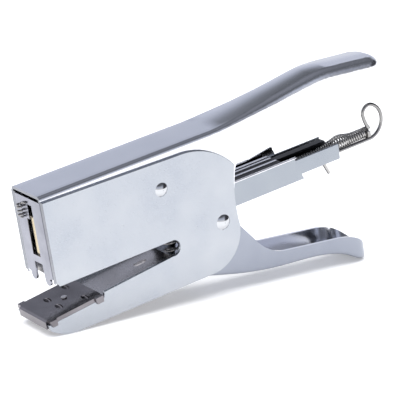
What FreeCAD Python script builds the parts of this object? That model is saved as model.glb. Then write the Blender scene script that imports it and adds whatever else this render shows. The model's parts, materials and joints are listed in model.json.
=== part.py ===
# Hand plier stapler in plated sheet steel, as an assembly of separate pieces.
#
# Everything is laid out in the head's own axes: x runs from the front of the head to the
# rear, y across the width and z up from the top front corner of the side plates.  At the
# end the whole tool is turned by its rest angle and set down on the floor z = 0, standing
# on the front of the jaw and on the heel of the lower handle.
import FreeCAD, Part
import math
import os
import re

NODES = {}
V = FreeCAD.Vector

# ---------------------------------------------------------------- driving dimensions (mm)
DIMENSIONS = [
    ("rest_angle", 9.506, "tilt of the head on a flat floor, degrees"),
    ("overall_width", 22.0, "over the outer faces of the side plates"),
    ("plate_sheet", 1.2, "side plates"),
    ("handle_sheet", 1.1, "upper and lower handle"),
    ("plate_top", 1.4, "depth of the plates' top edge at the front"),
    ("plate_bottom", 53.6, "depth of the plates' bottom edge"),
    ("plate_rear", 81.8, "rearmost point of the side plates"),
    ("throat_roof", 34.2, "depth of the throat's upper edge"),
    ("throat_reach", 53.3, "front of the head to the end of the throat"),
    ("jaw_slope", 0.085, "rise of the jaw's upper edge, per mm"),
    ("jaw_edge", 44.4, "depth of the jaw's upper edge where it would meet x = 0"),
    ("jaw_front", 6.2, "reach of the jaw in front of the head"),
    ("jaw_bed", 46.45, "depth of the anvil's bed at x = 0"),
    ("jaw_bed_end", 51.5, "rear end of the bed"),
    ("anvil_sheet", 1.5, "thickness of the anvil"),
    ("anvil_rear", 17.5, "rear edge of the anvil"),
    ("anvil_lip", 3.4, "depth of the anvil's folded front lip"),
    ("anvil_pin_place", 7.6, "rivet of the anvil"),
    ("pocket_reach", 4.8, "anvil rivet to either row of clinching pockets"),
    ("inner_pocket", 4.0, "centre to each permanent clinching pocket"),
    ("outer_pocket", 6.8, "centre to each temporary pinning pocket"),
    ("front_rivet_place", 49.0, "front rivet from the head's front"),
    ("front_rivet_depth", 13.3, "front rivet below the head's top"),
    ("pivot_place", 73.3, "rear rivet, the pivot, from the head's front"),
    ("pivot_depth", 35.0, "rear rivet below the head's top"),
    ("rivet_shank", 2.0, "radius of both rivets"),
    ("front_head", 2.7, "head radius of the front rivet"),
    ("rear_head", 3.0, "head radius of the rear rivet"),
    ("rivet_dome", 1.2, "height of the domed heads"),
    ("fit_gap", 0.06, "radial clearance of a hole over its pin"),
    ("cover_top", 0.6, "height of the cover above the head's top corner"),
    ("bend_radius", 1.6, "outer radius of the handles' rolled edges"),
    ("tip_bend_radius", 3.2, "outer radius of the upper handle's edges at its tip"),
    ("upper_tip", 158.2, "rear tip of the upper handle"),
    ("upper_tip_half", 8.5, "half the width of the upper handle near its tip"),
    ("upper_tip_radius", 6.4, "plan radius of the corners of the upper handle's tip"),
    ("lower_tip", 142.0, "rear tip of the lower handle"),
    ("lower_half_width", 8.4, "half the outer width of the lower handle"),
    ("guide_sheet", 0.8, "front guide plate"),
    ("guide_slot_half", 2.6, "half the width of the guide plate's notch"),
    ("magazine_half", 7.1, "half the outer width of the magazine"),
    ("magazine_sheet", 0.6, "magazine, nose and tray"),
    ("magazine_top", 23.3, "depth of the magazine's upper edge"),
    ("magazine_floor", 32.8, "depth of the magazine's underside"),
    ("magazine_rear", 114.9, "rear end of the magazine's floor"),
    ("nose_place", 2.1, "front face of the magazine's nose"),
    ("blade_place", 2.75, "front face of the driver blade"),
    ("blade_sheet", 0.5, "driver blade"),
    ("blade_half", 6.3, "half the width of the driver blade"),
    ("blade_end", 22.8, "depth of the blade's lower edge at rest"),
    ("blade_tab", 9.0, "depth of the middle of the blade's bent tab"),
    ("rail_half", 5.4, "half the width of the staple rail"),
    ("rail_sheet", 0.8, "staple rail"),
    ("rail_top", 23.65, "depth of the rail's top"),
    ("rail_bottom", 30.2, "depth of the rail's lower edges"),
    ("rail_front", 3.4, "front end of the rail"),
    ("rail_step", 107.0, "where the rail narrows to its tail"),
    ("rail_tail_half", 1.7, "half the width of the rail's tail"),
    ("rail_rear", 130.6, "rear end of the rail"),
    ("staple_half", 6.4, "half the crown of a standard staple"),
    ("staple_wire", 0.5, "staple wire"),
    ("staple_leg", 6.0, "staple leg"),
    ("strip_end", 48.0, "rear end of the loaded strip"),
    ("tray_half", 6.4, "half the outer width of the tray"),
    ("tray_front", 100.0, "front end of the tray"),
    ("tray_rear", 133.4, "rear end of the tray"),
    ("tray_top", 24.8, "depth of the tray's upper edge"),
    ("tray_floor", 31.0, "depth of the tray's underside"),
    ("pusher_long", 9.8, "length of the pusher"),
    ("spring_depth", 27.6, "depth of the feeder spring's axis"),
    ("feeder_coil", 2.3, "outer radius of the feeder spring"),
    ("feeder_bore", 1.6, "inner radius of the feeder spring"),
    ("pull_place", 151.0, "where the pull ring joins the feeder spring"),
    ("pull_wire", 0.72, "radius of the pull ring's wire"),
    ("return_place", 56.0, "axis of the return spring"),
    ("return_coil", 3.4, "outer radius of the return spring"),
    ("return_bore", 2.5, "inner radius of the return spring"),
    ("seat_depth", 50.0, "depth of the return spring's seat"),
]

doc = FreeCAD.newDocument("PlierStapler")
sheet = doc.addObject("Spreadsheet::Sheet", "Dimensions")
for row, (alias, value, note) in enumerate(DIMENSIONS, start=1):
    sheet.set("A%d" % row, alias)
    sheet.set("B%d" % row, str(value))
    sheet.set("C%d" % row, note)
    sheet.setAlias("B%d" % row, alias)
doc.recompute()


def size(alias):
    """The number that the sheet holds under this alias."""
    return float(sheet.get(alias))


ALIASES = sorted((alias for alias, _, _ in DIMENSIONS), key=len, reverse=True)
WORD = re.compile(r"\b(" + "|".join(ALIASES) + r")\b")


def bind(thing, prop, formula):
    """Bind a property to a formula written with the sheet's aliases."""
    thing.setExpression(prop, WORD.sub(r"Dimensions.\1", str(formula)))


# ---------------------------------------------------------------- building blocks
def draw(sketch, outline):
    """Draw a closed outline.

    A point ends a line, a pair (middle, end) ends an arc, and a list
    [leaving, points, arriving] is a smooth curve through the points with those end headings.
    """
    start = outline[0]
    here = V(start[0], start[1], 0)
    steps = list(outline[1:])
    final = steps[-1]
    if isinstance(final, list):
        final = final[1][-1]
    elif isinstance(final[0], tuple):
        final = final[1]
    if final != start:
        steps.append(start)
    for step in steps:
        if isinstance(step, list):
            leaving, through, arriving = step
            points = [here] + [V(x, y, 0) for x, y in through]
            curve = Part.BSplineCurve()
            curve.interpolate(Points=points, InitialTangent=V(leaving[0], leaving[1], 0),
                              FinalTangent=V(arriving[0], arriving[1], 0))
            sketch.addGeometry(curve, False)
            end = points[-1]
        elif isinstance(step[0], tuple):
            middle, end = (V(p[0], p[1], 0) for p in step)
            sketch.addGeometry(Part.Arc(here, middle, end), False)
        else:
            end = V(step[0], step[1], 0)
            sketch.addGeometry(Part.LineSegment(here, end), False)
        here = end


def prism(name, plane, outline, low, high, holes=()):
    """A body padded from one outline between the formulas low and high.

    plane is "XZ_Plane" for a side view (x, z) padded along y, or "XY_Plane" for a plan
    (x, y) padded along z.  A hole is (x, other, radius) in the same view.
    """
    body = doc.addObject("PartDesign::Body", name)
    sketch = body.newObject("Sketcher::SketchObject", name + "_sketch")
    origin = [f for f in body.Origin.OriginFeatures if f.Role == plane][0]
    sketch.AttachmentSupport = [(origin, "")]
    sketch.MapMode = "FlatFace"
    draw(sketch, outline)
    for x, other, radius in holes:
        sketch.addGeometry(Part.Circle(V(x, other, 0), V(0, 0, 1), radius), False)
    side_view = plane == "XZ_Plane"
    bind(sketch, "AttachmentOffset.Base.z", "-(%s)" % low if side_view else low)
    pad = body.newObject("PartDesign::Pad", name + "_pad")
    pad.Profile = sketch
    bind(pad, "Length", "(%s) - (%s)" % (high, low))
    pad.Reversed = side_view
    sketch.Visibility = False
    return body


def side(name, outline, low, high, holes=()):
    return prism(name, "XZ_Plane", outline, low, high, holes)


def plan(name, outline, low, high, holes=()):
    return prism(name, "XY_Plane", outline, low, high, holes)


def box(name, x, y, z):
    """A box between two formulas along each axis."""
    block = doc.addObject("Part::Box", name)
    for prop, (low, high) in (("Length", x), ("Width", y), ("Height", z)):
        bind(block, prop, "(%s) - (%s)" % (high, low))
    for axis, (low, _) in (("x", x), ("y", y), ("z", z)):
        bind(block, "Placement.Base." + axis, low)
    return block


def cross_pin(name, x, z, radius, low, high):
    """A cylinder across the width, from y = low to y = high (formulas)."""
    pin = doc.addObject("Part::Cylinder", name)
    pin.Placement = FreeCAD.Placement(V(0, 0, 0), FreeCAD.Rotation(V(1, 0, 0), -90))
    bind(pin, "Radius", radius)
    bind(pin, "Height", "(%s) - (%s)" % (high, low))
    bind(pin, "Placement.Base.x", x)
    bind(pin, "Placement.Base.y", low)
    bind(pin, "Placement.Base.z", z)
    return pin


def upright_pin(name, x, y, radius, low, high):
    """A cylinder standing along z, from z = low to z = high (formulas)."""
    pin = doc.addObject("Part::Cylinder", name)
    bind(pin, "Radius", radius)
    bind(pin, "Height", "(%s) - (%s)" % (high, low))
    for axis, place in (("x", x), ("y", y), ("z", low)):
        bind(pin, "Placement.Base." + axis, place)
    return pin


def lengthwise_pin(name, y, z, radius, low, high):
    """A cylinder along x, from x = low to x = high (formulas)."""
    pin = doc.addObject("Part::Cylinder", name)
    pin.Placement = FreeCAD.Placement(V(0, 0, 0), FreeCAD.Rotation(V(0, 1, 0), 90))
    bind(pin, "Radius", radius)
    bind(pin, "Height", "(%s) - (%s)" % (high, low))
    for axis, place in (("x", low), ("y", y), ("z", z)):
        bind(pin, "Placement.Base." + axis, place)
    return pin


def fuse(name, pieces):
    joined = doc.addObject("Part::MultiFuse", name)
    joined.Shapes = pieces
    joined.Refine = True
    return joined


def cut(name, base, tools):
    """base less every one of the tools."""
    tool = tools[0] if len(tools) == 1 else fuse(name + "_tools", tools)
    result = doc.addObject("Part::Cut", name)
    result.Base = base
    result.Tool = tool
    return result


def common(name, first, second):
    result = doc.addObject("Part::Common", name)
    result.Base = first
    result.Tool = second
    return result


def node(name, thing):
    """Hand a finished piece in under its own name."""
    thing.Label = name
    NODES[name] = thing


def both_sides(maker):
    """Call maker(tag, low, high) for the left side, y < 0, and for the right side."""
    def mirrored(low, high):
        left = maker("left", "-(%s)" % high, "-(%s)" % low)
        right = maker("right", low, high)
        return [left, right]
    return mirrored


# ---------------------------------------------------------------- shared places
FRONT_RIVET = (size("front_rivet_place"), -size("front_rivet_depth"))
PIVOT = (size("pivot_place"), -size("pivot_depth"))
PIN_HOLE = size("rivet_shank") + size("fit_gap")
INNER_FACE = "overall_width / 2 - plate_sheet"


def along_jaw(x, depth):
    """A point at x on a line that runs parallel to the jaw's upper edge."""
    return (x, -size(depth) + size("jaw_slope") * x)


# ---------------------------------------------------------------- side plates
def side_plates():
    """Two C-shaped plates: head above, jaw below, and the throat between them."""
    roof = -size("throat_roof")
    reach = size("throat_reach")
    rear = size("plate_rear")
    bottom = -size("plate_bottom")
    front = -size("jaw_front")
    step = size("anvil_rear") + 0.5
    outline = [
        (0.0, -size("plate_top")),
        (58.0, -2.9),
        ((72.5, -6.4), (rear, -14.6)),
        ((rear - 1.6, -25.0), (rear - 1.5, -36.0)),
        ((77.2, -48.2), (66.0, bottom)),
        (8.0, bottom),
        ((0.3, bottom + 0.9), (front + 0.8, bottom + 4.0)),
        along_jaw(front, "jaw_bed"),
        along_jaw(step, "jaw_bed"),
        along_jaw(step + 0.6, "jaw_edge"),
        along_jaw(reach - 3.7, "jaw_edge"),
        ((reach, -37.2), (reach - 2.9, roof)),
        (1.2, roof),
        (0.0, roof + 1.6),
    ]
    holes = [FRONT_RIVET + (PIN_HOLE,), PIVOT + (PIN_HOLE,)]
    half = "overall_width / 2"
    node("left_side_plate", side("left_side_plate", outline, "-(%s)" % half,
                                 "plate_sheet - " + half, holes))
    node("right_side_plate", side("right_side_plate", outline, INNER_FACE, half, holes))


# ---------------------------------------------------------------- upper handle
def upper_top_line(drop):
    """The upper handle's top from the front of the flat cover to its tip, lowered by drop."""
    top = size("cover_top") - drop
    tip = size("upper_tip")
    crown = [(90.0, 1.7 - drop), (106.0, 3.2 - drop), (120.0, 5.1 - drop), (129.0, 6.0 - drop),
             (137.0, 5.6 - drop), (147.0, 4.6 - drop), (tip, 3.7 - drop)]
    return [(72.0, top), [(1.0, 0.0), crown, (1.0, -0.05)]]


def upper_plan(inset, front):
    """The upper handle seen from above: wide cover, waist, round tip."""
    cover = size("overall_width") / 2 - size("plate_sheet") - inset
    waist = 8.1 - inset
    half = size("upper_tip_half") - inset
    tip = size("upper_tip") - inset
    radius = size("upper_tip_radius") - inset
    start = tip - radius
    end = half - radius
    middle = radius * math.sqrt(0.5)
    ahead = (1.0, 0.0)
    back = (-1.0, 0.0)
    return [(front, -cover), (76.0, -cover),
            [ahead, [(93.0, -(cover + waist) / 2), (112.0, -waist), (start, -half)], ahead],
            ((start + middle, -end - middle), (tip, -end)), (tip, end),
            ((start + middle, end + middle), (start, half)),
            [back, [(112.0, waist), (93.0, (cover + waist) / 2), (76.0, cover)], back],
            (front, cover)]


def rolled(name, base, radius_at, chosen):
    """base with the edges that chosen(edge) picks rolled to the radius radius_at(x)."""
    doc.recompute()
    rolls = []
    for n, edge in enumerate(base.Shape.Edges, start=1):
        if chosen(edge):
            ends = [radius_at(edge.valueAt(place).x) for place in (edge.FirstParameter, edge.LastParameter)]
            if edge.Orientation == "Reversed":
                ends.reverse()
            rolls.append((n, ends[0], ends[1]))
    bend = doc.addObject("Part::Fillet", name)
    bend.Base = base
    bend.Edges = rolls
    return bend


def upper_handle():
    """Inverted channel: flat cover over the head, then the upper handle, in one pressing."""
    tip = size("upper_tip")
    rear = size("plate_rear")
    x, z = PIVOT
    rx, rz = FRONT_RIVET
    outline = [(-0.3, size("cover_top"))] + upper_top_line(0.0) + [
        (tip, -1.2),
        (150.0, -1.2),
        [(-1.0, 0.0), [(138.0, -1.6), (127.0, -2.7), (112.0, -2.7), (97.0, -3.9)], (-1.0, -0.3)],
        ((88.2, -9.0), (rear + 0.6, -18.0)),
        (x + 5.9, z + 1.0),
        ((x, z - 5.8), (x - 5.9, z + 1.0)),
        (rx + 12.0, rz - 5.5),
        (rx - 6.0, rz - 5.0),
        (rx - 9.0, -9.0),
        (8.6, -9.0),
        ((6.4, -9.9), (5.4, -12.0)),
        (5.4, -33.5),
        (0.1, -33.5),
        (0.1, -1.5),
        (-0.3, -1.5),
    ]
    sheet_inner = size("handle_sheet")
    hollow = [(-5.0, size("cover_top") - sheet_inner)] + upper_top_line(sheet_inner) + [
        (tip, -60.0), (-5.0, -60.0)]
    wide = "overall_width"
    solid = common("upper_solid", side("upper_side", outline, "-" + wide, wide),
                   plan("upper_plan", upper_plan(0.0, -0.3), "-60", "20"))
    space = common("upper_space", side("upper_inner_side", hollow, "-" + wide, wide),
                   plan("upper_inner_plan", upper_plan(sheet_inner, -5.0), "-70", "20"))
    bores = [cross_pin("upper_front_bore", "front_rivet_place", "-front_rivet_depth",
                       "rivet_shank + fit_gap", "-" + wide, wide),
             cross_pin("upper_pivot_bore", "pivot_place", "-pivot_depth",
                       "rivet_shank + fit_gap", "-" + wide, wide)]

    def top_edge(edge):
        """An edge along either side of the flat top or round its tip."""
        middle = edge.valueAt((edge.FirstParameter + edge.LastParameter) / 2)
        lowest = min(corner.Point.z for corner in edge.Vertexes)
        return lowest > -0.6 and middle.z > -0.55 and middle.x > 1.0 and edge.Length > 3.5

    def roll(x):
        """The roll widens from the grip to the tip."""
        share = min(max((x - 80.0) / 71.0, 0.0), 1.0)
        return size("bend_radius") + share * (size("tip_bend_radius") - size("bend_radius"))

    outer = rolled("upper_rolled", solid, roll, top_edge)
    inner = rolled("upper_rolled_space", space, lambda x: roll(x) - sheet_inner, top_edge)
    node("upper_handle", cut("upper_handle", outer, [inner] + bores))


# ---------------------------------------------------------------- front guide plate
def front_guide_plate():
    """Plate across the open front of the head: slot, bridge, notch and two prongs."""
    half = size("overall_width") / 2 - size("plate_sheet") - size("handle_sheet") - 0.03
    slot = size("guide_slot_half")
    top = -2.0
    window_top = -4.6
    slot_top = -10.5
    slot_low = -24.6
    bridge_low = -27.4
    shoulder = -31.8
    foot = -35.2
    prong = 6.3
    # Drawn as seen from the front, (y, z), on the plate's own YZ plane.
    outline = [(-half, top), (half, top), (half, shoulder), (prong, shoulder - 0.6),
               ((4.5, foot), (slot + 0.6, foot + 1.8)), (slot, bridge_low), (-slot, bridge_low),
               (-slot - 0.4, foot + 1.8), ((-4.6, foot), (-prong, shoulder - 0.6)), (-half, shoulder)]
    opening = [(-2.2, window_top), (0.7, window_top), (0.7, slot_top), (2.5, slot_top), (2.7, slot_low),
               (-2.4, slot_low), (-2.2, slot_top)]
    body = doc.addObject("PartDesign::Body", "front_guide_plate")
    sketch = body.newObject("Sketcher::SketchObject", "guide_sketch")
    origin = [f for f in body.Origin.OriginFeatures if f.Role == "YZ_Plane"][0]
    sketch.AttachmentSupport = [(origin, "")]
    sketch.MapMode = "FlatFace"
    draw(sketch, outline)
    draw(sketch, opening)
    pad = body.newObject("PartDesign::Pad", "guide_pad")
    pad.Profile = sketch
    bind(pad, "Length", "guide_sheet")
    node("front_guide_plate", body)
    node("front_leaf", box("front_leaf", ("guide_sheet + 0.02", "guide_sheet + 0.27"), ("-1.6", "1"),
                           ("-26.4", "-9.6")))


# ---------------------------------------------------------------- jaw and anvil
def jaw_channel():
    """Inverted channel between the plates that carries the anvil, with an oval window."""
    front = -size("jaw_front") + 0.8
    end = size("jaw_bed_end")
    wall = 6.0
    thick = size("handle_sheet")

    def low(x, depth):
        px, pz = along_jaw(x, "jaw_bed")
        return (px, pz - depth)

    outline = [low(front, 0), low(end, 0), low(end, wall), low(9.0, wall), low(front, 2.6)]
    hollow = [low(front - 9, thick), low(end + 9, thick), low(end + 9, 20), low(front - 9, 20)]
    solid = side("jaw_solid", outline, "-(%s)" % INNER_FACE, INNER_FACE)
    inner = INNER_FACE + " - handle_sheet"
    space = side("jaw_space", hollow, "-(%s)" % inner, inner)
    centre = 41.4
    half_long = 1.5
    radius = 1.25
    window = plan("jaw_window", [(centre - half_long, -radius), (centre + half_long, -radius),
                                 ((centre + half_long + radius, 0.0), (centre + half_long, radius)),
                                 (centre - half_long, radius),
                                 ((centre - half_long - radius, 0.0), (centre - half_long, -radius))],
                  "-60", "-40")
    rivet_hole = upright_pin("jaw_rivet_hole", "anvil_pin_place", "0", "0.8 + fit_gap", "-60", "-40")
    node("jaw_channel", cut("jaw_channel", solid, [space, window, rivet_hole]))


def anvil():
    """Hardened plate on the jaw: folded front lip, four corner tabs, two rows of pockets."""
    front = -size("jaw_front") - 0.2
    rear = size("anvil_rear")
    thick = size("anvil_sheet")
    lip = size("anvil_lip")

    def on_bed(x, rise):
        px, pz = along_jaw(x, "jaw_bed")
        return (px, pz + rise)

    outline = [on_bed(front, thick - 0.7), on_bed(front + 0.7, thick), on_bed(rear, thick), on_bed(rear, 0),
               on_bed(front + 0.9, 0), on_bed(front + 0.9, thick - lip), on_bed(front, thick - lip)]
    flat = side("anvil_flat", outline, "-overall_width / 2 + 1.6", "overall_width / 2 - 1.6")
    over = [on_bed(front + 3.4, thick), on_bed(rear - 3.2, thick), on_bed(rear - 3.2, 0),
            on_bed(front + 3.4, 0)]
    wide = side("anvil_wide", over, "-overall_width / 2", "overall_width / 2")
    tabs = []
    for tag, low, high in (("front", front + 0.9, front + 3.6), ("rear", rear - 3.4, rear - 0.2)):
        tab = [on_bed(low, thick), on_bed(high, thick), on_bed(high, -1.0), on_bed(low + 0.5, -1.0)]
        for hand, inner, outer in (("left", "-overall_width / 2 - 0.9", "-overall_width / 2"),
                                   ("right", "overall_width / 2", "overall_width / 2 + 0.9")):
            tabs.append(side("anvil_tab_%s_%s" % (tag, hand), tab, inner, outer))
        strap = [on_bed(low, thick), on_bed(high, thick), on_bed(high, 0), on_bed(low, 0)]
        tabs.append(side("anvil_strap_" + tag, strap, "-overall_width / 2 - 0.9",
                         "overall_width / 2 + 0.9"))
    pockets = []
    for row, (shift, spread) in enumerate((("-", "inner_pocket"), ("+", "outer_pocket"))):
        for hand in ("-", "+"):
            place = "anvil_pin_place %s pocket_reach" % shift
            sink = doc.addObject("Part::Ellipsoid", "pocket_%d_%s" % (row, "l" if hand == "-" else "r"))
            sink.Radius1 = 1.1
            sink.Radius2 = 1.15
            sink.Radius3 = 2.3
            depth = -size("jaw_bed") + size("anvil_sheet") + 0.06
            sink.Placement = FreeCAD.Placement(V(0, 0, 0), FreeCAD.Rotation())
            bind(sink, "Placement.Base.x", place)
            bind(sink, "Placement.Base.y", hand + spread)
            bind(sink, "Placement.Base.z", "%f + jaw_slope * (%s)" % (depth, place))
            pockets.append(sink)
    hole = upright_pin("anvil_rivet_hole", "anvil_pin_place", "0", "0.8 + fit_gap", "-60", "-40")
    node("anvil", cut("anvil", fuse("anvil_blank", [flat, wide] + tabs), pockets + [hole]))


def anvil_rivet():
    """Low rivet that holds the anvil, headed above and below the bed."""
    top = "-jaw_bed + anvil_sheet + jaw_slope * anvil_pin_place"
    low = "-jaw_bed - handle_sheet + jaw_slope * anvil_pin_place"
    shank = upright_pin("anvil_rivet_shank", "anvil_pin_place", "0", "0.8", low + " - 0.6", top + " + 0.25")
    crown = upright_pin("anvil_rivet_crown", "anvil_pin_place", "0", "1.1", top + " + 0.18", top + " + 0.55")
    foot = upright_pin("anvil_rivet_foot", "anvil_pin_place", "0", "2.2", low + " - 0.9", low + " - 0.2")
    node("anvil_rivet", fuse("anvil_rivet", [shank, crown, foot]))


# ---------------------------------------------------------------- rivets, spacer, washers
def rivet(name, place, depth, head):
    """Shank through both plates with a domed head on each outer face."""
    half = size("overall_width") / 2
    dome = size("rivet_dome")
    radius = size("rivet_shank")
    wide = size(head)
    ball = (wide * wide + dome * dome) / (2 * dome)
    lean = math.asin(wide / ball) / 2
    bulge = (ball * math.sin(lean), half + dome - ball * (1 - math.cos(lean)))
    body = doc.addObject("PartDesign::Body", name)
    sketch = body.newObject("Sketcher::SketchObject", name + "_sketch")
    origin = [f for f in body.Origin.OriginFeatures if f.Role == "XY_Plane"][0]
    sketch.AttachmentSupport = [(origin, "")]
    sketch.MapMode = "FlatFace"
    draw(sketch, [(0.0, -half - dome), ((bulge[0], -bulge[1]), (wide, -half)), (radius, -half),
                  (radius, half), (wide, half), (bulge, (0.0, half + dome))])
    turn = body.newObject("PartDesign::Revolution", name + "_turn")
    turn.Profile = sketch
    turn.ReferenceAxis = (sketch, ["V_Axis"])
    turn.Angle = 360
    body.Placement.Base = V(size(place), 0, -size(depth))
    node(name, body)


def front_spacer():
    """Sleeve on the front rivet that holds the cover's skirts apart."""
    half = INNER_FACE + " - handle_sheet"
    tube = cross_pin("spacer_tube", "front_rivet_place", "-front_rivet_depth", "rivet_shank + 0.7",
                     "-(%s)" % half, half)
    bore = cross_pin("spacer_bore", "front_rivet_place", "-front_rivet_depth", "rivet_shank + fit_gap",
                     "-overall_width", "overall_width")
    node("front_spacer", cut("front_spacer", tube, [bore]))


def pivot_washers():
    """Two thin washers on the pivot, between the lower handle and the cover's skirts."""
    def washer(tag, low, high):
        return cross_pin("washer_" + tag, "pivot_place", "-pivot_depth", "4.4", low, high)
    discs = both_sides(washer)("lower_half_width + 0.05", INNER_FACE + " - handle_sheet - 0.05")
    bore = cross_pin("washer_bore", "pivot_place", "-pivot_depth", "rivet_shank + fit_gap",
                     "-overall_width", "overall_width")
    node("pivot_washers", cut("pivot_washers", fuse("washer_pair", discs), [bore]))


# ---------------------------------------------------------------- return spring and its seat
def spring_seat():
    """Bracket behind the bed with a peg that the return spring stands on."""
    place = size("return_place")
    coil = size("return_coil")
    bed_end = size("jaw_bed_end")
    depth = -size("seat_depth")
    thick = 1.0
    outline = [(bed_end, -43.6), (bed_end + thick - 0.3, -43.6), (bed_end + thick - 0.3, depth),
               (place + coil, depth), (place + coil, depth - thick), (bed_end, depth - thick)]
    bracket = side("seat_bracket", outline, "-5", "5")
    peg = upright_pin("seat_peg", "return_place", "0", "return_bore - 0.3", "-seat_depth - 0.3",
                      "-seat_depth + 2.5")
    node("spring_seat", fuse("spring_seat", [bracket, peg]))


def return_spring():
    """Coil spring that lifts the magazine, as the tube that its turns fill."""
    top = "-magazine_floor - 0.05"
    tube = upright_pin("return_tube", "return_place", "0", "return_coil", "-seat_depth", top)
    bore = upright_pin("return_hollow", "return_place", "0", "return_bore", "-seat_depth - 1", top + " + 1")
    node("return_spring", cut("return_spring", tube, [bore]))


# ---------------------------------------------------------------- lower handle
def lower_web(lift):
    """The lower handle's underside from its heel forward to below the pivot, raised by lift."""
    under = [(134.6, -73.6 + lift), (129.5, -70.4 + lift), (120.0, -66.9 + lift), (106.0, -64.6 + lift),
             (92.7, -62.7 + lift), (78.3, -59.3 + lift), (63.0, -54.6 + lift)]
    return [(138.2, -75.9 + lift), [(-0.85, 0.5), under, (-0.95, 0.3)]]


def lower_plan(inset, front):
    half = size("lower_half_width") - inset
    centre = size("lower_tip") - size("lower_half_width")
    return [(front, -half), (centre, -half), ((centre + half, 0.0), (centre, half)), (front, half)]


def lower_handle():
    """Channel open upwards, with two drive arms that reach forward over the magazine."""
    tip = size("lower_tip")
    x, z = PIVOT
    outline = [(8.2, -3.2), (22.0, -4.2), (49.0, -17.2), (64.0, -21.0), (74.0, -27.5),
               ((79.4, -31.5), (80.2, -37.5)), (85.2, -44.5), (88.9, -49.5), ((93.2, -54.0), (100.0, -57.4)),
               (113.6, -59.8), (125.0, -61.6),
               [(1.0, -0.17), [(131.0, -63.0), (136.0, -65.4), (139.6, -68.8), (tip, -73.6)], (0.3, -1.0)],
               ((141.4, -75.5), (138.2, -75.9))]
    outline += lower_web(0.0)[1:]
    outline += [(61.0, -50.0), (64.5, -37.0), (58.0, -30.5), (40.0, -25.0), (22.0, -16.0), (8.2, -12.6)]
    thick = size("handle_sheet")
    hollow = [(-5.0, 10.0), (tip + 20, 10.0), (tip + 20, -75.9 + thick)] + lower_web(thick) + [
        (56.0, -62.0), (-5.0, -62.0)]
    wide = "overall_width"
    solid = common("lower_solid", side("lower_side", outline, "-" + wide, wide),
                   plan("lower_plan", lower_plan(0.0, 0.0), "-90", "20"))
    space = common("lower_space", side("lower_inner_side", hollow, "-" + wide, wide),
                   plan("lower_inner_plan", lower_plan(thick, -5.0), "-90", "20"))
    bores = [cross_pin("lower_pivot_bore", "pivot_place", "-pivot_depth", "rivet_shank + fit_gap",
                       "-" + wide, wide),
             cross_pin("lower_yoke_bore", "13", "-6.5", "1.02", "-" + wide, wide)]

    def under_edge(edge):
        """An edge along either side of the web or round the heel."""
        middle = edge.valueAt((edge.FirstParameter + edge.LastParameter) / 2)
        highest = max(corner.Point.z for corner in edge.Vertexes)
        return (middle.z < -54.5 and highest < -53.0 and middle.x > 66.0 and edge.Length > 8.0
                and abs(middle.y) > 2.0 and web_depth(middle) < 1.4)

    def web_depth(point):
        """How far a point lies above the web's underside, roughly, by its nearest known place."""
        known = [(138.2, -75.9)] + lower_web(0.0)[1][1]
        for (x1, z1), (x2, z2) in zip(known, known[1:]):
            if x2 <= point.x <= x1:
                return point.z - (z1 + (z2 - z1) * (point.x - x1) / (x2 - x1))
        return 99.0

    outer = rolled("lower_rolled", solid, lambda x: size("bend_radius"), under_edge)
    node("lower_handle", cut("lower_handle", outer, [space] + bores))


def drive_yoke():
    """Bridge between the drive arms with a slotted tongue that carries the driver blade."""
    half = "lower_half_width - handle_sheet - 0.05"
    roof = box("yoke_roof", ("8.6", "19"), ("-(%s)" % half, half), ("-4.5", "-3.4"))
    flanges = both_sides(lambda tag, low, high: box("yoke_flange_" + tag, ("8.6", "19"), (low, high),
                                                    ("-9", "-3.4")))(half + " - 1.1", half)
    tongue = box("yoke_tongue", ("9", "19"), ("-1.5", "1.5"), ("-blade_tab - 2.7", "-3.8"))
    slot = box("yoke_slot", ("5", "16.4"), ("-3", "3"), ("-blade_tab - 1.6", "-blade_tab + 1.6"))
    bore = cross_pin("yoke_bore", "13", "-6.5", "1.02", "-10", "10")
    node("drive_yoke", cut("drive_yoke", fuse("yoke_blank", [roof, tongue] + flanges), [slot, bore]))


def yoke_rivets():
    """Two short rivets that hold the yoke between the drive arms."""
    def one(tag, low, high):
        shank = cross_pin("yoke_shank_" + tag, "13", "-6.5", "1", low, high)
        outer = ("-" + YOKE_RIVET_END, "-lower_half_width") if tag == "left" else (
            "lower_half_width", YOKE_RIVET_END)
        head = cross_pin("yoke_head_" + tag, "13", "-6.5", "1.7", outer[0], outer[1])
        return fuse("yoke_rivet_" + tag, [shank, head])
    pair = both_sides(one)("lower_half_width - handle_sheet - 1.15", "lower_half_width + 0.1")
    node("yoke_rivets", fuse("yoke_rivets", pair))


YOKE_RIVET_END = "(lower_half_width + 0.2)"


# ---------------------------------------------------------------- magazine
def magazine_channel():
    """Long open channel for the staples, with two ears that hang on the pivot."""
    top = -size("magazine_top")
    low = -size("magazine_floor")
    rear = size("magazine_rear")
    x, z = PIVOT
    half = "magazine_half"
    outline = [(size("nose_place"), top), (rear - 3.3, top), (rear, low), (x + 4.6, low), (x + 4.2, z),
               ((x, z - 4.2), (x - 4.2, z)), (x - 4.6, low), (size("nose_place"), low)]
    solid = side("magazine_solid", outline, "-" + half, half, [PIVOT + (PIN_HOLE,)])
    inner = half + " - magazine_sheet"
    trough = box("magazine_trough", ("-5", "200"), ("-(%s)" % inner, inner),
                 ("-magazine_floor + magazine_sheet", "0"))
    ear_gap = box("magazine_ear_gap", ("-5", "200"), ("-(%s)" % inner, inner),
                  ("-magazine_floor - 20", "-magazine_floor"))
    exit_gap = box("staple_exit", ("-5", "rail_front"), ("-(%s)" % inner, inner), ("-40", "0"))
    flare = side("magazine_flare", [(99.0, top - 0.5), (99.0, top), (110.4, top + 1.7), (111.2, top + 1.5),
                                    (111.5, top - 0.5)], inner, half)
    blank = cut("magazine_blank", solid, [trough, ear_gap, exit_gap])
    node("magazine_channel", fuse("magazine_channel", [blank, flare]))


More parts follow.
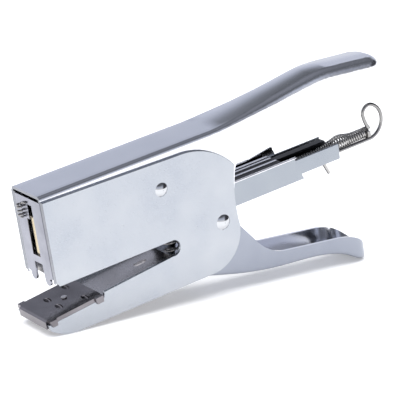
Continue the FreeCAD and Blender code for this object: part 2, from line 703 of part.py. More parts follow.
def nose_plate():
    """Front wall of the magazine; the staple leaves between it and the rail."""
    inner = "magazine_half - magazine_sheet"
    node("nose_plate", box("nose_plate", ("nose_place", "nose_place + magazine_sheet - 0.1"),
                           ("-(%s)" % inner, inner), ("-magazine_floor", "-magazine_top")))


def staple_rail():
    """Inverted channel that the staples straddle; the feeder spring runs inside it."""
    solid = box("rail_solid", ("rail_front", "rail_step"), ("-rail_half", "rail_half"),
                ("-rail_bottom", "-rail_top"))
    inner = "rail_half - rail_sheet"
    space = box("rail_space", ("-5", "200"), ("-(%s)" % inner, inner),
                ("-rail_bottom - 5", "-rail_top - rail_sheet"))
    tail = box("rail_tail", ("rail_step - 1", "rail_rear"), ("-rail_tail_half", "rail_tail_half"),
               ("-25.2", "-rail_top"))
    node("staple_rail", fuse("staple_rail", [cut("rail_channel", solid, [space]), tail]))


def rail_block():
    """Block that carries the front of the rail on the magazine's floor."""
    inner = "rail_half - rail_sheet"
    node("rail_block", box("rail_block", ("rail_front", "rail_front + 7"), ("-(%s)" % inner, inner),
                           ("-magazine_floor + magazine_sheet", "-rail_top - rail_sheet")))


def staple_strip():
    """A strip of glued staples astride the rail."""
    crown = "-rail_top + 0.05"
    solid = box("strip_solid", ("rail_front", "strip_end"), ("-staple_half", "staple_half"),
                (crown + " - staple_leg", crown + " + staple_wire"))
    inner = "staple_half - staple_wire"
    space = box("strip_space", ("-5", "200"), ("-(%s)" % inner, inner), ("-60", crown))
    node("staple_strip", cut("staple_strip", solid, [space]))


# ---------------------------------------------------------------- driver
def driver_blade():
    """Flat blade that drives the staple, its top bent back as a tab for the yoke."""
    blade = box("blade_flat", ("blade_place", "blade_place + blade_sheet"), ("-blade_half", "blade_half"),
                ("-blade_end", "-blade_tab + 0.4"))
    tab = box("blade_bent_tab", ("blade_place", "12.4"), ("-4", "4"), ("-blade_tab - 0.4", "-blade_tab + 0.4"))
    node("driver_blade", fuse("driver_blade", [blade, tab]))


# ---------------------------------------------------------------- feeder
def feeder_tray():
    """Narrow channel in the rear of the magazine that is drawn out to load staples."""
    solid = box("tray_solid", ("tray_front", "tray_rear"), ("-tray_half", "tray_half"),
                ("-tray_floor", "-tray_top"))
    inner = "tray_half - magazine_sheet"
    space = box("tray_space", ("0", "200"), ("-(%s)" % inner, inner),
                ("-tray_floor + magazine_sheet", "0"))
    node("feeder_tray", cut("feeder_tray", solid, [space]))


def latch_pin():
    """Short bent pin under the tray that the thumb presses to free it."""
    pin = doc.addObject("Part::Cylinder", "latch_pin")
    pin.Radius = 0.7
    pin.Height = 5.2
    pin.Placement = FreeCAD.Placement(V(126.8, -4.0, -size("tray_floor") - 0.35),
                                      FreeCAD.Rotation(V(0, 1, 0), 180 - 24))
    foot = upright_pin("latch_foot", "126.8", "-4", "1.1", "-tray_floor - 0.6", "-tray_floor")
    node("latch_pin", fuse("latch_pin", [pin, foot]))


def wire(name, start, ends, radius):
    """A round wire: a straight first stretch, then arcs that each run on smoothly."""
    here = V(*start)
    edges = []
    heading = None
    for place in ends:
        end = V(*place)
        chord = end - here
        if heading is None:
            edges.append(Part.LineSegment(here, end).toShape())
        else:
            along = V(chord).normalize()
            lean = heading.getAngle(along)
            aside = (heading - along * heading.dot(along)).normalize()
            middle = here + chord * 0.5 + aside * (chord.Length / 2 * math.tan(lean / 2))
            edges.append(Part.Arc(here, middle, end).toShape())
        heading = edges[-1].tangentAt(edges[-1].LastParameter)
        here = end
    section = Part.Wire([Part.Circle(V(*start), edges[0].tangentAt(edges[0].FirstParameter), radius).toShape()])
    feature = doc.addObject("Part::Feature", name)
    feature.Shape = Part.Wire(edges).makePipeShell([section], True, False)
    return feature


def pull_ring():
    """Sprung wire: a leg along the tray's floor that turns up into the finger ring."""
    y = -2.4
    floor = -size("tray_floor") + size("magazine_sheet") + size("pull_wire") + 0.03
    place = size("pull_place")
    ends = [
        (place + 0.2, y, floor),
        (place + 7.1, y, floor + 5.6),
        (place + 3.2, y, floor + 13.5),
        (place - 1.5, y, floor + 10.0),
        (place + 0.6, y, floor + 4.3),
    ]
    node("pull_ring", wire("pull_ring", (119.0, y, floor), ends, size("pull_wire")))


def guide_rod():
    """Rod inside the feeder spring, carried by the end plate of the tray's pull."""
    node("guide_rod", lengthwise_pin("guide_rod", "0", "-spring_depth", "0.6", "50", "pull_place + 0.9"))


def end_plate():
    """Small collar behind the feeder spring that ties the rod to the pull ring."""
    collar = lengthwise_pin("end_collar", "0", "-spring_depth", "feeder_coil", "pull_place - 0.5",
                            "pull_place + 0.9")
    bore = lengthwise_pin("end_bore", "0", "-spring_depth", "0.62", "100", "200")
    ear = box("end_ear", ("pull_place - 0.5", "pull_place + 0.9"), ("-3.1", "-0.9"),
              ("-spring_depth - 2.2", "-spring_depth + 1.2"))
    clear = lengthwise_pin("end_clear", "-2.4", "-tray_floor + magazine_sheet + pull_wire + 0.03",
                           "pull_wire + 0.05", "100", "200")
    clear_space = box("end_clear_space", ("pull_place - 2", "pull_place + 2"), ("-3.2", "-1.5"),
                      ("-tray_floor", "-spring_depth - 1.1"))
    node("end_collar", cut("end_collar", fuse("end_blank", [collar, ear]), [bore, clear, clear_space]))


def pusher():
    """Block astride the rail that keeps the strip against the nose."""
    front = "strip_end + 0.1"
    rear = front + " + pusher_long"
    outer = box("pusher_block", (front, rear), ("-6.3", "6.3"), ("-31.9", "-22.7"))
    around = box("pusher_rail_gap", ("40", "70"), ("-rail_half - 0.1", "rail_half + 0.1"),
                 ("-31.3", "-rail_top + 0.1"))
    post = box("pusher_post", (rear + " - 4", rear), ("-2.2", "2.2"), ("-31.5", "-25.4"))
    bore = lengthwise_pin("pusher_bore", "0", "-spring_depth", "0.75", "40", "70")
    shell = cut("pusher_shell", outer, [around])
    node("pusher", cut("pusher", fuse("pusher_blank", [shell, post]), [bore]))


def feeder_spring():
    """Coil spring behind the pusher, as the tube that its turns fill."""
    rear = "pull_place - 0.5"
    front = "strip_end + 0.1 + pusher_long"
    tube = lengthwise_pin("feeder_tube", "0", "-spring_depth", "feeder_coil", front, rear)
    bore = lengthwise_pin("feeder_hollow", "0", "-spring_depth", "feeder_bore", "0", "200")
    node("feeder_spring", cut("feeder_spring", tube, [bore]))


# ---------------------------------------------------------------- build
side_plates()
upper_handle()
front_guide_plate()
jaw_channel()
anvil()
anvil_rivet()
rivet("front_rivet", "front_rivet_place", "front_rivet_depth", "front_head")
rivet("rear_rivet", "pivot_place", "pivot_depth", "rear_head")
front_spacer()
pivot_washers()
spring_seat()
return_spring()
lower_handle()
drive_yoke()
yoke_rivets()
magazine_channel()
nose_plate()
staple_rail()
rail_block()
staple_strip()
driver_blade()
feeder_tray()
latch_pin()
pull_ring()
guide_rod()
end_plate()
pusher()
feeder_spring()
doc.recompute()

# ---------------------------------------------------------------- set the tool on the floor
tilt = FreeCAD.Placement(V(0, 0, 0), FreeCAD.Rotation(V(0, 1, 0), -size("rest_angle")))
extent = FreeCAD.BoundBox()
for thing in NODES.values():
    shape = thing.Shape.copy()
    shape.Placement = tilt.multiply(shape.Placement)
    extent.add(shape.optimalBoundingBox(False))
seat = FreeCAD.Placement(V(-extent.Center.x, -extent.Center.y, -extent.ZMin), FreeCAD.Rotation())
for thing in NODES.values():
    bound = [prop for prop, _ in thing.ExpressionEngine if "Placement" in prop]
    here = thing.Placement
    for prop in bound:
        thing.setExpression(prop, None)
    thing.Placement = seat.multiply(tilt).multiply(here)
doc.recompute()

# ---------------------------------------------------------------- check and write
for thing in doc.Objects:
    if "Invalid" in thing.State or "Error" in thing.State:
        raise RuntimeError("%s did not compute: %s" % (thing.Name, thing.State))
for name, thing in NODES.items():
    if thing.Shape.isNull() or not thing.Shape.isValid() or not thing.Shape.Solids:
        raise RuntimeError("%s has no valid solid" % name)

os.makedirs("parts", exist_ok=True)
for name, thing in NODES.items():
    thing.Shape.exportStep(os.path.join("parts", name + ".step"))
    print("%-20s %2d solid(s) %9.2f mm3" % (name, len(thing.Shape.Solids), thing.Shape.Volume))
print("rest angle %.3f deg, seat %.4f %.4f %.4f" % ((size("rest_angle"),) + tuple(seat.Base)))
print("size %.2f x %.2f x %.2f mm" % (extent.XLength, extent.YLength, extent.ZLength))
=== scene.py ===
# Studio scene of a plated plier stapler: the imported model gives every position, and this
# script adds formed sheet, wound springs, single staples and the metal finishes.
import json
import math

import bmesh
import bpy
from mathutils import Matrix, Vector

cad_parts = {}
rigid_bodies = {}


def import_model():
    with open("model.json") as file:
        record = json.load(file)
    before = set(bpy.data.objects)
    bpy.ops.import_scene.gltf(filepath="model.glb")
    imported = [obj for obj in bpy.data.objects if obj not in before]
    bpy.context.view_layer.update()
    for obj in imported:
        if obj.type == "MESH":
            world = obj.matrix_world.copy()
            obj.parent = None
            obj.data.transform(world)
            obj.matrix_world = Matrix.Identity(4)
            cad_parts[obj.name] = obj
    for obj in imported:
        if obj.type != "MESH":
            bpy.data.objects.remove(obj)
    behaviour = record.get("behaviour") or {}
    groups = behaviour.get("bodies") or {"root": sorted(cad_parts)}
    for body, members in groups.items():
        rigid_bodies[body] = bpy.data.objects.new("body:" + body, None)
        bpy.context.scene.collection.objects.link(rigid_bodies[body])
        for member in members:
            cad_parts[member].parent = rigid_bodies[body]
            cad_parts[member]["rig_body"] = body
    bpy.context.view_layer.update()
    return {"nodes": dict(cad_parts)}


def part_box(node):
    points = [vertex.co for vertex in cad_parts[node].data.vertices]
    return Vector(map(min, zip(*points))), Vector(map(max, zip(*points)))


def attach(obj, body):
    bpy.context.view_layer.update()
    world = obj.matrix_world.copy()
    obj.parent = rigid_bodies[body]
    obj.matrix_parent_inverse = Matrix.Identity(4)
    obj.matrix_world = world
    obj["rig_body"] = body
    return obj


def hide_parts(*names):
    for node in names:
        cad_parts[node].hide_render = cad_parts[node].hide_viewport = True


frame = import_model()
nodes = frame["nodes"]

# ---------------------------------------------------------------- the head's own axes
# The head leans back by LEAN about the rear rivet, which stands at PIVOT in its own axes.
LEAN = math.radians(9.506)
PIVOT = (73.3, -35.0)
LOW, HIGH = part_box("rear_rivet")
RIVET = (LOW + HIGH) / 2


def head(x, y, z):
    """A point given in the head's own axes, in millimetres, as a point of the scene."""
    dx = (x - PIVOT[0]) / 1000
    dz = (z - PIVOT[1]) / 1000
    across = dx * math.cos(LEAN) - dz * math.sin(LEAN)
    up = dx * math.sin(LEAN) + dz * math.cos(LEAN)
    return Vector((RIVET.x + across, y / 1000, RIVET.z + up))


def in_head(point):
    """A point of the scene in the head's own axes, in millimetres."""
    dx = (point.x - RIVET.x) * 1000
    dz = (point.z - RIVET.z) * 1000
    along = dx * math.cos(LEAN) + dz * math.sin(LEAN)
    up = dz * math.cos(LEAN) - dx * math.sin(LEAN)
    return along + PIVOT[0], point.y * 1000, up + PIVOT[1]


# ---------------------------------------------------------------- materials
def new_material(name):
    """A material whose output is one principled shader."""
    mat = bpy.data.materials.new(name)
    mat.use_nodes = True
    tree = mat.node_tree
    tree.nodes.clear()
    out = tree.nodes.new("ShaderNodeOutputMaterial")
    shader = tree.nodes.new("ShaderNodeBsdfPrincipled")
    tree.links.new(shader.outputs["BSDF"], out.inputs["Surface"])
    return mat, tree, shader


def noise(tree, coords, scale, detail=3.0, rough=0.55, stretch=(1, 1, 1)):
    """Noise from 0 to 1 over these coordinates."""
    place = tree.nodes.new("ShaderNodeMapping")
    place.inputs["Scale"].default_value = stretch
    tree.links.new(coords, place.inputs["Vector"])
    tex = tree.nodes.new("ShaderNodeTexNoise")
    tex.inputs["Scale"].default_value = scale
    tex.inputs["Detail"].default_value = detail
    tex.inputs["Roughness"].default_value = rough
    tree.links.new(place.outputs["Vector"], tex.inputs["Vector"])
    return tex.outputs["Fac"]


def ramp(tree, value, stops):
    """A colour that follows value through the stops (place, colour)."""
    node = tree.nodes.new("ShaderNodeValToRGB")
    band = node.color_ramp
    while len(band.elements) < len(stops):
        band.elements.new(0.5)
    for element, (place, colour) in zip(band.elements, stops):
        element.position = place
        element.color = (*colour, 1.0)
    tree.links.new(value, node.inputs["Fac"])
    return node.outputs["Color"]


def scale_value(tree, value, low, high):
    """value from 0 to 1, mapped to the span from low to high."""
    node = tree.nodes.new("ShaderNodeMapRange")
    node.inputs["To Min"].default_value = low
    node.inputs["To Max"].default_value = high
    tree.links.new(value, node.inputs["Value"])
    return node.outputs["Result"]


def mix_colour(tree, factor, first, second):
    """first where factor is 0, second where it is 1; each is a colour or a socket."""
    node = tree.nodes.new("ShaderNodeMix")
    node.data_type = "RGBA"
    tree.links.new(factor, node.inputs["Factor"])
    for socket, value in ((node.inputs[6], first), (node.inputs[7], second)):
        if isinstance(value, tuple):
            socket.default_value = (*value, 1.0)
        else:
            tree.links.new(value, socket)
    return node.outputs[2]


def metal(name, base, tarnish, rough, rough_spread=0.06, grain=(1, 1, 1), grain_scale=900.0,
          bump=0.02, wave=0.0, wave_scale=25.0):
    """Plated or bare steel: clouded tone, fine drawn grain, slight ripple of the sheet."""
    mat, tree, shader = new_material(name)
    coords = tree.nodes.new("ShaderNodeTexCoord").outputs["Object"]
    shader.inputs["Metallic"].default_value = 1.0
    cloud = noise(tree, coords, 60.0, 4.0)
    fine = noise(tree, coords, grain_scale, 3.0, 0.6, grain)
    patch = ramp(tree, cloud, [(0.30, (0, 0, 0)), (0.75, (1, 1, 1))])
    tree.links.new(mix_colour(tree, patch, base, tarnish), shader.inputs["Base Color"])
    total = tree.nodes.new("ShaderNodeMath")
    total.operation = "ADD"
    tree.links.new(scale_value(tree, cloud, rough - rough_spread / 2, rough + rough_spread / 2),
                   total.inputs[0])
    tree.links.new(scale_value(tree, fine, -rough_spread, rough_spread), total.inputs[1])
    tree.links.new(total.outputs[0], shader.inputs["Roughness"])
    ripple = tree.nodes.new("ShaderNodeBump")
    ripple.inputs["Strength"].default_value = bump
    ripple.inputs["Distance"].default_value = 0.0001
    tree.links.new(fine, ripple.inputs["Height"])
    if wave:
        sheet = tree.nodes.new("ShaderNodeBump")
        sheet.inputs["Strength"].default_value = wave
        sheet.inputs["Distance"].default_value = 0.001
        tree.links.new(noise(tree, coords, wave_scale, 1.0), sheet.inputs["Height"])
        tree.links.new(sheet.outputs["Normal"], ripple.inputs["Normal"])
    tree.links.new(ripple.outputs["Normal"], shader.inputs["Normal"])
    return mat


PLATE = metal("plated_side", (0.47, 0.49, 0.52), (0.405, 0.43, 0.475), 0.26, 0.05, (1, 1, 6), wave=0.05)
COVER = metal("plated_cover", (0.82, 0.83, 0.87), (0.76, 0.78, 0.83), 0.20, 0.05, (6, 1, 1), wave=0.05)
GRIP = metal("plated_grip", (0.325, 0.345, 0.395), (0.285, 0.305, 0.36), 0.17, 0.05, (6, 1, 1), wave=0.05)
GUIDE = metal("plated_guide", (0.34, 0.345, 0.39), (0.20, 0.205, 0.24), 0.22, 0.06)
# Darker copy of the plating for the front edges: painted shade in place of the bright surroundings they
# mirror.
EDGE_SHADE = metal("painted_edge_shade", (0.30, 0.31, 0.335), (0.20, 0.205, 0.225), 0.30, 0.08)
CHANNEL = metal("plated_channel", (0.35, 0.375, 0.405), (0.305, 0.33, 0.37), 0.17, 0.05, (6, 1, 1),
                wave=0.04)
ANVIL = metal("hardened_anvil", (0.30, 0.285, 0.30), (0.16, 0.15, 0.16), 0.16, 0.06, grain_scale=400.0,
              bump=0.006, wave=0.04)
JAW = metal("burnished_jaw", (0.66, 0.64, 0.66), (0.50, 0.48, 0.49), 0.28, 0.08, (6, 1, 1))
DOME = metal("polished_dome", (0.60, 0.61, 0.63), (0.56, 0.57, 0.59), 0.09, 0.02)
WIRE = metal("drawn_wire", (0.50, 0.49, 0.48), (0.36, 0.35, 0.34), 0.20, 0.08, (8, 1, 1))
STAPLE = metal("staple_wire", (0.62, 0.61, 0.60), (0.52, 0.50, 0.48), 0.28, 0.08)
DARK = metal("blackened_steel", (0.035, 0.035, 0.04), (0.02, 0.02, 0.023), 0.34, 0.10)
STRIP = metal("spring_strip", (0.40, 0.39, 0.38), (0.30, 0.29, 0.28), 0.28, 0.08)
# Brighter copy of the grip plating for the lower handle's inside: painted reflection, not a different
# finish.
INNER_REFLECTION = metal("painted_inner_reflection", (0.86, 0.87, 0.90), (0.80, 0.81, 0.85), 0.13, 0.04, (6, 1, 1), wave=0.05)
# Brighter copy of the plating: painted highlight on the magazine's upper edges, beads and rail ribs,
# painted reflection inside its flared tab and far wall.
PAINTED_HIGHLIGHT = metal("painted_highlight", (0.86, 0.86, 0.88), (0.76, 0.76, 0.79), 0.14, 0.05, (8, 1, 1))
RING = metal("dark_wire", (0.36, 0.355, 0.35), (0.24, 0.235, 0.23), 0.16, 0.06, (8, 1, 1))
LEAF = metal("brass_leaf", (0.60, 0.52, 0.36), (0.46, 0.38, 0.24), 0.26, 0.08)

FINISH = {
    "left_side_plate": PLATE, "right_side_plate": PLATE, "upper_handle": COVER, "lower_handle": GRIP,
    "front_guide_plate": GUIDE, "front_leaf": LEAF, "jaw_channel": JAW, "anvil": ANVIL, "anvil_rivet": JAW,
    "front_rivet": DOME, "rear_rivet": DOME, "front_spacer": STRIP, "pivot_washers": STRIP,
    "spring_seat": STRIP, "return_spring": WIRE, "drive_yoke": JAW, "yoke_rivets": DOME,
    "magazine_channel": CHANNEL, "nose_plate": STRIP, "staple_rail": DARK, "rail_block": DARK,
    "staple_strip": STAPLE, "driver_blade": STRIP, "feeder_tray": CHANNEL, "latch_pin": WIRE,
    "pull_ring": RING, "guide_rod": STRIP, "end_collar": STRIP, "feeder_spring": WIRE, "pusher": DARK,
}
for name, thing in nodes.items():
    thing.data.materials.clear()
    thing.data.materials.append(FINISH[name])


# ---------------------------------------------------------------- mesh helpers
COIL_STEPS = 18  # points on each turn of a spring


def link(name, mesh, material):
    """A smooth-shaded object that holds this mesh, in the scene."""
    thing = bpy.data.objects.new(name, mesh)
    bpy.context.scene.collection.objects.link(thing)
    mesh.materials.append(material)
    for face in mesh.polygons:
        face.use_smooth = True
    return thing


def tube(name, points, radius, material, sides):
    """A round wire along a list of points, its rings turned smoothly from one to the next."""
    mesh = bpy.data.meshes.new(name)
    build = bmesh.new()
    rings = []
    side = None
    for index, point in enumerate(points):
        before = points[max(index - 1, 0)]
        after = points[min(index + 1, len(points) - 1)]
        along = (after - before).normalized()
        if side is None:
            side = along.orthogonal().normalized()
        side = (side - along * side.dot(along)).normalized()
        other = along.cross(side)
        ring = []
        for step in range(sides):
            angle = 2 * math.pi * step / sides
            outwards = side * math.cos(angle) + other * math.sin(angle)
            ring.append(build.verts.new(point + outwards * radius))
        rings.append(ring)
    for first, second in zip(rings, rings[1:]):
        for step in range(sides):
            nxt = (step + 1) % sides
            build.faces.new((first[step], first[nxt], second[nxt], second[step]))
    build.faces.new(list(reversed(rings[0])))
    build.faces.new(rings[-1])
    build.to_mesh(mesh)
    build.free()
    return link(name, mesh, material)


def coil(start, end, radius, wire, turns, closed=1.5):
    """Points of a spring from start to end: close turns at its ends, open ones between."""
    axis = end - start
    length = axis.length
    along = axis.normalized()
    side = along.orthogonal().normalized()
    other = along.cross(side)
    points = []
    count = int(turns * COIL_STEPS)
    dead = closed * wire * 2.05 / length
    for step in range(count + 1):
        turn_now = turns * step / count
        if turn_now < closed:
            place = dead * turn_now / closed
        elif turn_now > turns - closed:
            place = 1 - dead * (turns - turn_now) / closed
        else:
            place = dead + (1 - 2 * dead) * (turn_now - closed) / (turns - 2 * closed)
        angle = 2 * math.pi * turn_now
        outwards = side * math.cos(angle) + other * math.sin(angle)
        points.append(start + along * (length * place) + outwards * radius)
    return points


# ---------------------------------------------------------------- softened edges
JOIN_DISTANCE = 2e-6
FLAT_ANGLE = math.radians(1.5)
SHARP_ANGLE = math.radians(25.0)
GRIP_HALF = 8.0  # half the width of the upper handle's arched part
GRIP_START = 78.0  # where the arch begins, behind the flat cover
GRIP_END = 159.0
ARCH_RISE = 1.15


def softened(node, width, shape=None):
    """A copy of a CAD piece with its edges rounded by width millimetres, in its place."""
    source = nodes[node]
    mesh = source.data.copy()
    build = bmesh.new()
    build.from_mesh(mesh)
    bmesh.ops.remove_doubles(build, verts=build.verts, dist=JOIN_DISTANCE)
    bmesh.ops.dissolve_limit(build, angle_limit=FLAT_ANGLE, verts=build.verts, edges=build.edges)
    if shape is not None:
        shape(build)
    build.to_mesh(mesh)
    build.free()
    thing = bpy.data.objects.new(node + "_soft", mesh)
    bpy.context.scene.collection.objects.link(thing)
    for face in mesh.polygons:
        face.use_smooth = True
    bevel = thing.modifiers.new("edges", "BEVEL")
    bevel.width = width / 1000
    bevel.segments = 2
    bevel.limit_method = "ANGLE"
    bevel.angle_limit = SHARP_ANGLE
    bevel.use_clamp_overlap = True
    even = thing.modifiers.new("shading", "WEIGHTED_NORMAL")
    even.weight = 100
    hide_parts(node)
    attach(thing, source["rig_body"])
    return thing


def crowned_grip(build):
    """Raise the middle of the upper handle's top into a gentle arch behind the head."""
    for across in range(-7, 8):
        everything = build.verts[:] + build.edges[:] + build.faces[:]
        bmesh.ops.bisect_plane(build, geom=everything, plane_co=(0, across / 1000, 0), plane_no=(0, 1, 0))
    up = head(0, 0, 1) - head(0, 0, 0)
    for vert in build.verts:
        x, y, z = in_head(vert.co)
        if x > GRIP_START and abs(y) < GRIP_HALF:
            rise_in = min((x - GRIP_START) / 30, 1.0)
            rise_out = min(max((GRIP_END - x) / 8, 0.0), 1.0)
            share = rise_in * rise_out
            share = share * share * (3 - 2 * share)
            vert.co += up * (ARCH_RISE * share * (1 - (y / GRIP_HALF) ** 2))


SHAPES = {"upper_handle": crowned_grip}
SOFT = {
    "left_side_plate": 0.22, "right_side_plate": 0.22, "upper_handle": 0.22, "lower_handle": 0.22,
    "front_guide_plate": 0.18, "front_leaf": 0.06, "jaw_channel": 0.2, "anvil": 0.3, "anvil_rivet": 0.2,
    "magazine_channel": 0.2, "feeder_tray": 0.18, "staple_rail": 0.2, "rail_block": 0.2,
    "drive_yoke": 0.2, "pusher": 0.25, "spring_seat": 0.2, "latch_pin": 0.15, "end_collar": 0.2,
    "nose_plate": 0.1, "driver_blade": 0.1,
}
for name, width in SOFT.items():
    softened(name, width, shape=SHAPES.get(name))


def second_finish(node, material, chosen):
    """Give another material to the faces of a softened piece that chosen(place, normal) picks."""
    mesh = bpy.data.objects[node + "_soft"].data
    mesh.materials.append(material)
    for face in mesh.polygons:
        if chosen(in_head(face.center), face.normal):
            face.material_index = 1


def inside_grip(place, normal):
    """The lower handle's inner walls and its inner floor, which get the painted reflection."""
    wall = normal.y * place[1] < 0 and abs(normal.y) > 0.5
    return wall or (normal.z > 0.5 and abs(place[1]) < 8.0)


def upper_magazine(place, normal):
    """The magazine's upper edges and flared tab, and the inside of its far wall, which get the painted
    highlight and painted reflection.
    """
    return place[2] > -23.6 or (place[1] > 6.0 and normal.y < -0.5)


def front_edge(place, normal):
    """The sheared edges at the open front of the head, which get the darker copy of the plating as painted
    shade.
    """
    return place[0] < 1.5 and normal.x < -0.9


# Painted highlight and reflection on the magazine's upper edges, flared tab and far wall.
second_finish("magazine_channel", PAINTED_HIGHLIGHT, upper_magazine)
# Painted shade on the front edges of the plates and cover.
for name in ("left_side_plate", "right_side_plate", "upper_handle"):
    second_finish(name, EDGE_SHADE, front_edge)
# Painted reflection on the lower handle's inside.
second_finish("lower_handle", INNER_REFLECTION, inside_grip)

# ---------------------------------------------------------------- springs
FEEDER_AXIS = -27.6
FEEDER_WIRE = 0.00036
SWELL_PLACE = 138.4  # where the feeder spring bulges, just behind the tray
SWELL_SHARE = 0.42
RETURN_PLACE = 56
RETURN_WIRE = 0.00042


def swollen(point):
    """A point of the feeder spring, moved outwards near the spring's bulge."""
    x, y, z = in_head(point)
    swell = SWELL_SHARE * math.exp(-((x - SWELL_PLACE) / 3.6) ** 2)
    return head(x, y * (1 + swell), FEEDER_AXIS + (z - FEEDER_AXIS) * (1 + swell) + 0.8 * swell)


feeder_points = coil(head(58.1, 0, FEEDER_AXIS), head(150.3, 0, FEEDER_AXIS), 0.0019, FEEDER_WIRE, 82)
feeder_coil = tube("feeder_coil", [swollen(point) for point in feeder_points], FEEDER_WIRE, WIRE, 7)
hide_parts("feeder_spring")
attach(feeder_coil, "feeder")

return_points = coil(head(RETURN_PLACE, 0, -49.5), head(RETURN_PLACE, 0, -33.4), 0.00295, RETURN_WIRE, 7.5)
return_coil = tube("return_coil", return_points, RETURN_WIRE, WIRE, 8)
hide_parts("return_spring")
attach(return_coil, "frame")


# ---------------------------------------------------------------- magazine details
RAIL_DEPTH = -23.7  # just under the rail's top
BOX_FACES = ((0, 1, 3, 2), (4, 6, 7, 5), (0, 4, 5, 1), (2, 3, 7, 6), (0, 2, 6, 4), (1, 5, 7, 3))


def strip(name, low, high, material, body):
    """A thin bar with rounded edges between two corners given in the head's axes."""
    mesh = bpy.data.meshes.new(name)
    build = bmesh.new()
    corners = []
    for x in (low[0], high[0]):
        for y in (low[1], high[1]):
            for z in (low[2], high[2]):
                corners.append(build.verts.new(head(x, y, z)))
    for face in BOX_FACES:
        build.faces.new([corners[index] for index in face])
    bmesh.ops.recalc_face_normals(build, faces=build.faces)
    build.to_mesh(mesh)
    build.free()
    thing = link(name, mesh, material)
    edge = thing.modifiers.new("edges", "BEVEL")
    edge.width = min(high[1] - low[1], high[2] - low[2]) * 0.00035
    edge.segments = 3
    thing.modifiers.new("shading", "WEIGHTED_NORMAL")
    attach(thing, body)


def rolled_edges():
    """The bead along the upper edge of each of the magazine's walls, coloured with the painted highlight.
    """
    for side, hand, reach in (("near", -1, 112.4), ("far", 1, 99.5)):
        points = [head(x, hand * 6.86, -23.4) for x in (62.0, 76.0, 90.0, reach - 1.0, reach)]
        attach(tube("rolled_edge_" + side, points, 0.00046, PAINTED_HIGHLIGHT, 12), "magazine")


def rail_ribs():
    """Ribs that run along the rail's top, coloured with the painted highlight."""
    for number, (low, high) in enumerate(((-2.6, -1.5), (1.0, 2.0), (3.2, 4.4))):
        strip("rail_rib_%d" % number, (52.0, low, RAIL_DEPTH), (106.6, high, RAIL_DEPTH + 0.35), PAINTED_HIGHLIGHT,
              "magazine")


def guide_spring():
    """Small spring hooked at the far side of the front guide plate."""
    wire = 0.00034
    turns = coil(head(-0.7, 4.9, -5.4), head(-0.7, 5.2, -10.2), 0.00105, wire, 4, closed=0.8)
    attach(tube("guide_curl", turns, wire, STRIP, 8), "frame")
    hook = [head(-0.7, 4.0, -5.4), head(-0.6, 3.4, -4.6), head(-0.5, 2.4, -4.2), head(-0.35, 1.0, -4.1)]
    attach(tube("guide_hook", hook, wire, STRIP, 8), "frame")


def staples():
    """Each staple of the loaded strip, standing by itself."""
    half = 6.15
    crown = -23.85
    for number in range(84):
        place = 3.75 + number * 0.527
        bend = [(-half, -29.4), (-half, crown - 0.35), (-half + 0.45, crown), (half - 0.45, crown),
                (half, crown - 0.35), (half, -29.4)]
        points = [head(place, y, z) for y, z in bend]
        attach(tube("staple_%02d" % number, points, 0.00024, STAPLE, 6), "magazine")


rolled_edges()
rail_ribs()
guide_spring()
staples()


# ---------------------------------------------------------------- floor, lights, camera
def stage_floor():
    """A plain pale floor that glows a little, so that shadows on it stay light."""
    wide = 3.0
    mesh = bpy.data.meshes.new("floor")
    corners = [(-wide, -wide, 0), (wide, -wide, 0), (wide, wide, 0), (-wide, wide, 0)]
    mesh.from_pydata(corners, [], [(0, 1, 2, 3)])
    mat, tree, shader = new_material("pale_floor")
    shader.inputs["Base Color"].default_value = (0.93, 0.93, 0.935, 1)
    shader.inputs["Roughness"].default_value = 0.75
    shader.inputs["Emission Color"].default_value = (1.0, 1.0, 1.0, 1)
    shader.inputs["Emission Strength"].default_value = 0.26
    link("floor", mesh, mat)


def area_light(name, place, target, wide, power):
    """A square soft light that the plating doesn't mirror."""
    data = bpy.data.lights.new(name, "AREA")
    data.shape = "RECTANGLE"
    data.size = wide
    data.size_y = wide
    data.energy = power
    lamp = bpy.data.objects.new(name, data)
    lamp.location = place
    lamp.visible_glossy = False
    lamp.rotation_euler = (Vector(target) - Vector(place)).to_track_quat("-Z", "Y").to_euler()
    bpy.context.scene.collection.objects.link(lamp)


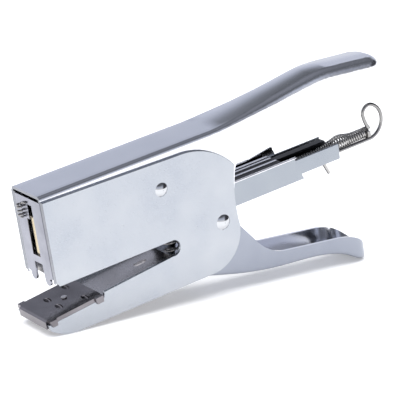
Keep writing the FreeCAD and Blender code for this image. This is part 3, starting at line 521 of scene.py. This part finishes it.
def studio():
    """Surroundings for the plating to mirror: pale low down, dark overhead, a dark card to the rear."""
    world = bpy.data.worlds.new("studio")
    world.use_nodes = True
    tree = world.node_tree
    back = tree.nodes["Background"]
    coords = tree.nodes.new("ShaderNodeTexCoord")
    split = tree.nodes.new("ShaderNodeSeparateXYZ")
    tree.links.new(coords.outputs["Generated"], split.inputs["Vector"])
    sky = ramp(tree, split.outputs["Z"], [
        (0.00, (0.98, 0.98, 1.0)), (0.14, (0.88, 0.90, 0.95)), (0.29, (0.70, 0.73, 0.84)),
        (0.48, (0.52, 0.55, 0.65)), (0.62, (0.19, 0.20, 0.225)), (0.75, (0.12, 0.125, 0.14)),
        (1.00, (0.24, 0.25, 0.29))])
    card = tree.nodes.new("ShaderNodeVectorMath")
    card.operation = "DOT_PRODUCT"
    card.inputs[1].default_value = (0.93, -0.36, 0.05)
    tree.links.new(coords.outputs["Generated"], card.inputs[0])
    edge = ramp(tree, card.outputs["Value"], [(0.70, (0, 0, 0)), (0.88, (1, 1, 1))])
    tree.links.new(mix_colour(tree, edge, sky, (0.06, 0.06, 0.07)), back.inputs["Color"])
    back.inputs["Strength"].default_value = 1.0
    bpy.context.scene.world = world
    bpy.context.scene.view_settings.view_transform = "Standard"
    area_light("overhead", (0, 0, 2.2), (0, 0, 0), 3.0, 80)
    area_light("key", (-1.1, -0.6, 1.4), (0, 0, 0.03), 1.0, 9)


def long_camera():
    """A long lens in front, to the left and above, turned by the matrix that fits the view."""
    data = bpy.data.cameras.new("camera")
    data.sensor_width = 36.0
    data.lens = 201.6
    data.clip_start = 0.01
    camera = bpy.data.objects.new("camera", data)
    turned = Matrix(((0.822291, 0.169464, -0.543249),
                     (-0.569051, 0.237593, -0.78723),
                     (-0.004335, 0.956468, 0.291804))).to_4x4()
    camera.matrix_world = Matrix.Translation(head(-338.1, -661.2, 288.9)) @ turned
    bpy.context.scene.collection.objects.link(camera)
    bpy.context.scene.camera = camera


stage_floor()
studio()
long_camera()
